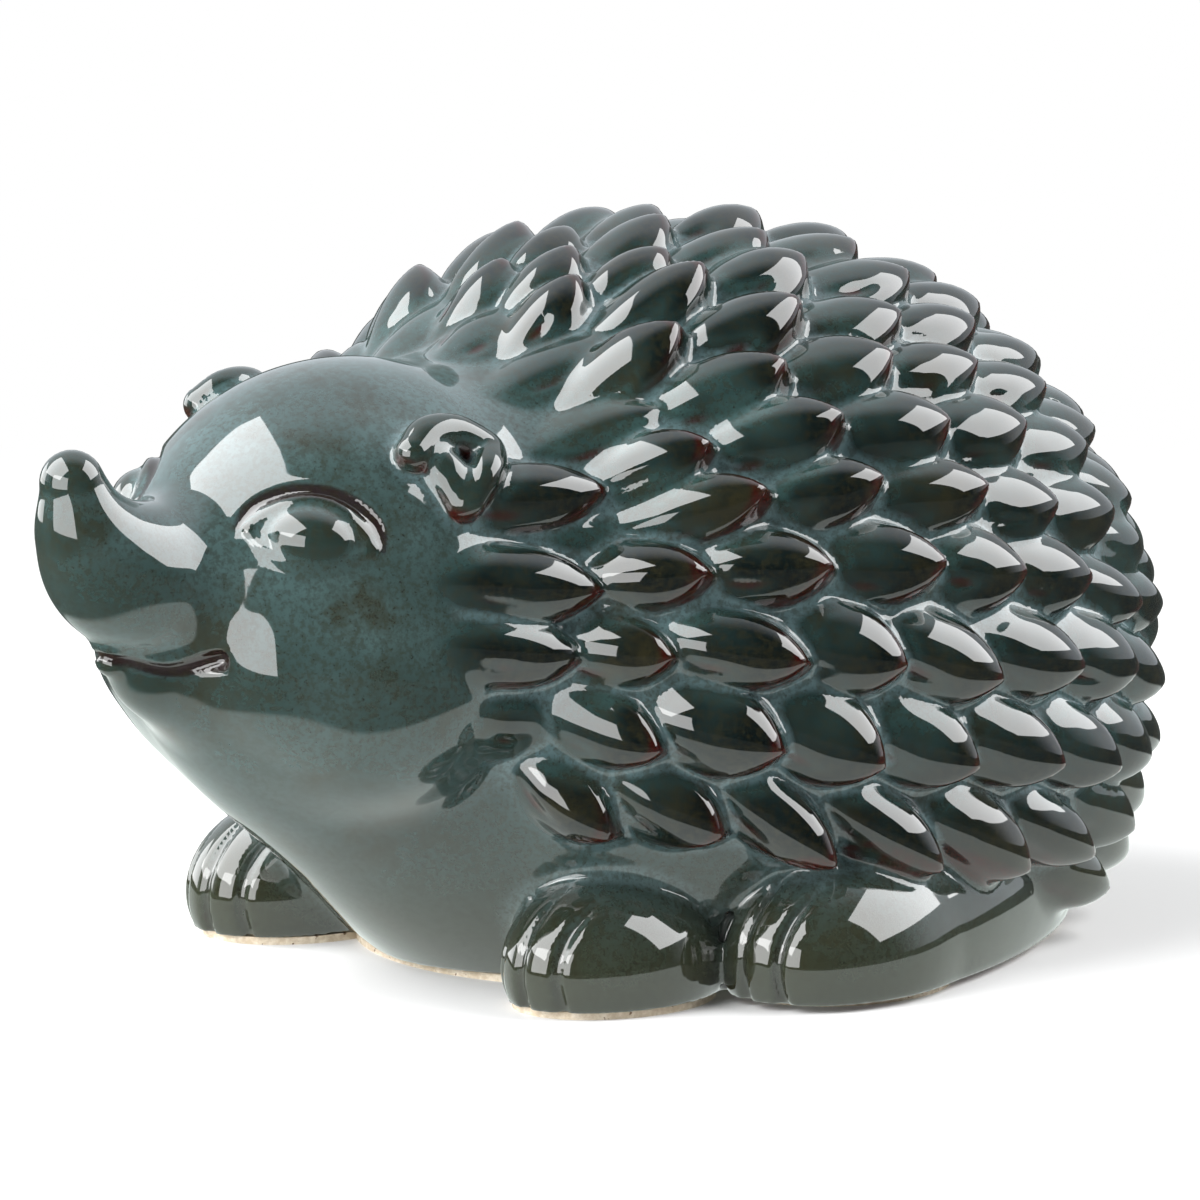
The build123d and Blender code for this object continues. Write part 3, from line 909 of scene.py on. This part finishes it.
def mixed(tree, factor, first, second):
    """Return the mix of two colours."""
    made = tree.nodes.new("ShaderNodeMix")
    made.data_type = "RGBA"
    spots = [spot for spot in made.inputs if spot.enabled]
    for spot, value in zip(spots, (factor, first, second)):
        fill_in(tree, spot, (*value, 1) if isinstance(value, tuple) else value)
    return next(spot for spot in made.outputs if spot.enabled)


def times(tree, first, second):
    """Return the product of two values."""
    made = tree.nodes.new("ShaderNodeMath")
    made.operation = "MULTIPLY"
    fill_in(tree, made.inputs[0], first)
    fill_in(tree, made.inputs[1], second)
    return made.outputs[0]


def noise(tree, scale, detail, roughness):
    """Return a noise value laid out in the object's own space."""
    place = tree.nodes.new("ShaderNodeTexCoord").outputs["Object"]
    sizes = {"Scale": scale, "Detail": detail, "Roughness": roughness}
    return node(tree, "ShaderNodeTexNoise", Vector=place, **sizes).outputs["Fac"]


def layered(tree, colour, over, value, layer):
    """Return a colour with another laid over it where a value calls for it."""
    begin, full, cover = layer
    return mixed(tree, times(tree, ramp(tree, value, begin, full), cover), colour, over)


def ripple(tree, shader, texture, strength, height):
    """Let a noise ripple a shader's surface."""
    sizes = {"Height": noise(tree, *texture), "Strength": strength, "Distance": height}
    made = node(tree, "ShaderNodeBump", **sizes)
    tree.links.new(made.outputs["Normal"], shader.inputs["Normal"])


def switch(tree, factor, first, second):
    """Return the first shader where the factor is 0, the second where it is 1."""
    made = tree.nodes.new("ShaderNodeMixShader")
    for spot, value in zip(made.inputs, (factor, first, second)):
        tree.links.new(value, spot)
    return made.outputs[0]


def glaze(name):
    """Return a glossy stoneware glaze: dark where it lies thinly, pale where it pools, with
    painted shade and painted reflection.
    """
    material, tree, shader = new_material(name)
    leafy = trait_value(tree, "leafy")
    hollow = trait_value(tree, "hollow")
    down = trait_value(tree, "down")
    thin_and_shade = mixed(tree, leafy, SKIN_THIN_AND_SHADE, LEAF_THIN_AND_SHADE)
    colour = mixed(tree, leafy, SKIN_PLAIN, LEAF_PLAIN)
    colour = layered(tree, colour, thin_and_shade, noise(tree, *CLOUD_NOISE), CLOUD_LAYER)
    colour = layered(tree, colour, thin_and_shade, hollow, DOME_LAYER)
    # Painted shade: sides and undersides darker than tops
    colour = layered(tree, colour, thin_and_shade, down, UNDERSIDE_SHADE_LAYER)
    # Pooled glaze and painted reflection: paler in the valleys
    colour = layered(tree, colour, POOLED_AND_REFLECTION, hollow, POOL_AND_REFLECTION_LAYER)
    colour = layered(tree, colour, BROWN, noise(tree, *RUST_NOISE), RUST_LAYER)
    colour = layered(tree, colour, KHAKI, trait_value(tree, "low"), FOOT_LAYER)
    drips = ramp(tree, noise(tree, *DRIP_NOISE), *DRIP_RANGE)
    # Iron red on steep flanks, with painted shade: only where they face down
    steep = ramp(tree, trait_value(tree, "flank"), *STEEP_RANGE)
    underside_shade = ramp(tree, down, *UNDERSIDE_SHADE_RANGE)
    colour = mixed(tree, times(tree, times(tree, steep, underside_shade), drips), colour, RED)
    edge = times(tree, ramp(tree, trait_value(tree, "bend"), *EDGE_RANGE), drips)
    colour = mixed(tree, times(tree, times(tree, edge, leafy), EDGE_COVER), colour, RED)
    # Dark red tint with painted shade in the mouth, eye fold and toe grooves
    colour = layered(tree, colour, GROOVE_TINT_AND_SHADE, trait_value(tree, "seam"), GROOVE_TINT_AND_SHADE_LAYER)
    vein = times(tree, ramp(tree, trait_value(tree, "streak"), *VEIN_RANGE), drips)
    colour = mixed(tree, times(tree, vein, VEIN_COVER), colour, RED)
    colour = layered(tree, colour, BROWN, noise(tree, *GRAIN_NOISE), GRAIN_LAYER)
    colour = layered(tree, colour, SPECK, noise(tree, *SPECK_NOISE), SPECK_LAYER)
    fill_in(tree, shader.inputs["Base Color"], colour)
    ripple(tree, shader, RIPPLE_NOISE, RIPPLE_STRENGTH, RIPPLE_HEIGHT)
    shader.inputs["Roughness"].default_value = GLAZE_ROUGHNESS
    shader.inputs["IOR"].default_value = GLAZE_IOR
    return material


def bare_clay():
    """Return the unglazed cream clay of the foot, with grog and iron specks."""
    material, tree, shader = new_material("bare_clay")
    grain = ramp(tree, noise(tree, *CLAY_GRAIN_NOISE), *CLAY_GRAIN_RANGE)
    colour = mixed(tree, grain, CLAY_DARK, CLAY_PALE)
    iron = ramp(tree, noise(tree, *CLAY_IRON_NOISE), *CLAY_IRON_RANGE)
    colour = mixed(tree, iron, colour, CLAY_IRON)
    fill_in(tree, shader.inputs["Base Color"], colour)
    ripple(tree, shader, CLAY_BUMP_NOISE, CLAY_BUMP_STRENGTH, CLAY_BUMP_HEIGHT)
    shader.inputs["Roughness"].default_value = CLAY_ROUGHNESS
    return material


def dress_foot():
    """Give the bare clay foot, a carried-over CAD node, its own finish."""
    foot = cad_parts["bare_foot"]
    foot.data.materials.clear()
    foot.data.materials.append(bare_clay())


def direction(azimuth, elevation):
    """Return the unit vector from the object towards two angles."""
    flat = cos(elevation)
    return Vector((sin(azimuth) * flat, -cos(azimuth) * flat, sin(elevation)))


def make_camera():
    """Create the camera at the photograph's angle and framing."""
    toward = direction(CAMERA_AZIMUTH, CAMERA_ELEVATION)
    right = Vector((cos(CAMERA_AZIMUTH), sin(CAMERA_AZIMUTH), 0))
    rise = toward.cross(right)
    half = PHOTO_SIZE / 2
    aim = right * ((half - ORIGIN_PIXEL[0]) / PHOTO_SCALE)
    aim = aim + rise * ((ORIGIN_PIXEL[1] - half) / PHOTO_SCALE)
    data = bpy.data.cameras.new("photo_camera")
    data.sensor_width = SENSOR
    data.lens = SENSOR * (CAMERA_DISTANCE - FOCUS_DEPTH) / (PHOTO_SIZE / PHOTO_SCALE)
    data.clip_end = FAR_CLIP
    camera = bpy.data.objects.new("photo_camera", data)
    camera.location = aim + toward * CAMERA_DISTANCE
    camera.rotation_mode = "QUATERNION"
    camera.rotation_quaternion = (-toward).to_track_quat("-Z", "Y")
    bpy.context.scene.collection.objects.link(camera)
    bpy.context.scene.camera = camera


def make_lamp(name, azimuth, elevation, distance, width, height, radiance):
    """Add a soft rectangular lamp that faces the figurine."""
    data = bpy.data.lights.new(name, "AREA")
    data.shape = "RECTANGLE"
    data.size = width
    data.size_y = height
    data.energy = radiance * pi * width * height
    lamp = bpy.data.objects.new(name, data)
    toward = direction(radians(azimuth), radians(elevation))
    lamp.location = Vector(LAMP_AIM) + toward * distance
    lamp.rotation_mode = "QUATERNION"
    lamp.rotation_quaternion = toward.to_track_quat("Z", "Y")
    bpy.context.scene.collection.objects.link(lamp)


def make_world():
    """White to the camera, and to reflections a dim studio that is pale behind."""
    world = bpy.data.worlds.new("studio")
    world.use_nodes = True
    bpy.context.scene.world = world
    tree = world.node_tree
    tree.nodes.clear()
    ray = tree.nodes.new("ShaderNodeLightPath")
    place = tree.nodes.new("ShaderNodeTexCoord").outputs["Generated"]
    behind = tree.nodes.new("ShaderNodeVectorMath")
    behind.operation = "DOT_PRODUCT"
    tree.links.new(place, behind.inputs[0])
    behind.inputs[1].default_value = (-sin(CAMERA_AZIMUTH), cos(CAMERA_AZIMUTH), 0)
    bright = ramp(tree, behind.outputs["Value"], *STUDIO_RANGE)
    level = between(tree, bright, *STUDIO_STRENGTHS)
    kind = "ShaderNodeBackground"
    plain = node(tree, kind, Color=WHITE, Strength=BACKDROP_STRENGTH).outputs[0]
    fill = node(tree, kind, Color=FILL_COLOUR, Strength=FILL_STRENGTH).outputs[0]
    mirror = node(tree, kind, Color=STUDIO_COLOUR, Strength=level).outputs[0]
    shown = switch(tree, ray.outputs["Is Glossy Ray"], fill, mirror)
    shown = switch(tree, ray.outputs["Is Camera Ray"], shown, plain)
    node(tree, "ShaderNodeOutputWorld", Surface=shown)


def table_material():
    """Return matt white that goes over into the backdrop further out."""
    material, tree, shader = new_material("white_table")
    shader.inputs["Base Color"].default_value = TABLE_WHITE
    shader.inputs["Roughness"].default_value = TABLE_ROUGHNESS
    shader.inputs["Specular IOR Level"].default_value = 0.0
    ray = tree.nodes.new("ShaderNodeLightPath")
    place = tree.nodes.new("ShaderNodeTexCoord").outputs["Object"]
    spread = tree.nodes.new("ShaderNodeVectorMath")
    spread.operation = "LENGTH"
    tree.links.new(place, spread.inputs[0])
    out = spread.outputs["Value"]
    far = times(tree, ramp(tree, out, *TABLE_FADE_RANGE), ray.outputs["Is Camera Ray"])
    level = between(tree, ramp(tree, out, *TABLE_EDGE_RANGE), *TABLE_MIRROR_STRENGTHS)
    kind = "ShaderNodeEmission"
    white = node(tree, kind, Color=WHITE, Strength=BACKDROP_STRENGTH).outputs[0]
    mirror = node(tree, kind, Color=TABLE_MIRROR_COLOUR, Strength=level).outputs[0]
    shown = switch(tree, far, shader.outputs[0], white)
    shown = switch(tree, ray.outputs["Is Glossy Ray"], shown, mirror)
    tree.links.new(shown, tree.nodes["Material Output"].inputs["Surface"])
    return material


def make_floor():
    """Lay a plain white table under the figurine."""
    mesh = bpy.data.meshes.new("floor")
    corners = [(-1, -1), (1, -1), (1, 1), (-1, 1)]
    corners = [(x * TABLE_HALF_WIDTH, y * TABLE_HALF_WIDTH, 0) for x, y in corners]
    mesh.from_pydata(corners, [], [(0, 1, 2, 3)])
    mesh.materials.append(table_material())
    floor = bpy.data.objects.new("floor", mesh)
    bpy.context.scene.collection.objects.link(floor)


build_pieces()
dress_foot()
make_camera()
make_world()
make_floor()
for lamp_name, lamp_sizes in LAMPS.items():
    make_lamp(lamp_name, *lamp_sizes)
bpy.context.scene.view_settings.view_transform = "Standard"
